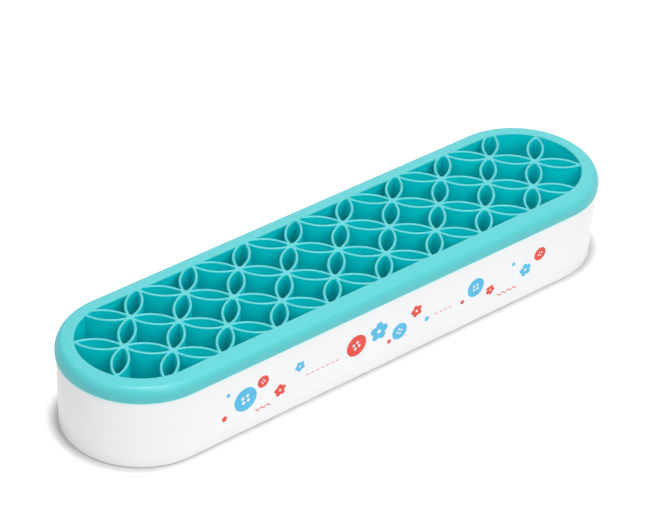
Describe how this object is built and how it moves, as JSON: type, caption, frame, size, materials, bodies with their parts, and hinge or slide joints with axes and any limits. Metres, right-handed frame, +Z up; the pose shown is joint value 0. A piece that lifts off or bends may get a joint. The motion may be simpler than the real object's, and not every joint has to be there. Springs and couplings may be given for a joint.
{
  "type": "knitting needle holder",
  "caption": "Oblong open-topped desk holder for knitting needles and hooks: a white tray with a soft lift-out insert of petal cells and four-pointed cells.",
  "frame": {"origin": "centre of the tray's underside, on the surface it stands on", "axes": "+X along the holder's length, +Z up through the open tops of the cells"},
  "size_m": [0.2284, 0.0574, 0.0337],
  "materials": {
    "tray": "satin",
    "insert": "satin"
  },
  "bodies": {
    "tray": {"tray": "tray"},
    "insert": {"insert_rim": "insert", "petals_right_a": "insert", "petals_right_b": "insert", "petals_left_a": "insert", "petals_left_b": "insert"}
  },
  "joints": [
    {"name": "insert_lift", "type": "slide", "parent": "tray", "child": "insert", "axis": [0, 0, 1], "range_m": [0, 0.035]}
  ]
}
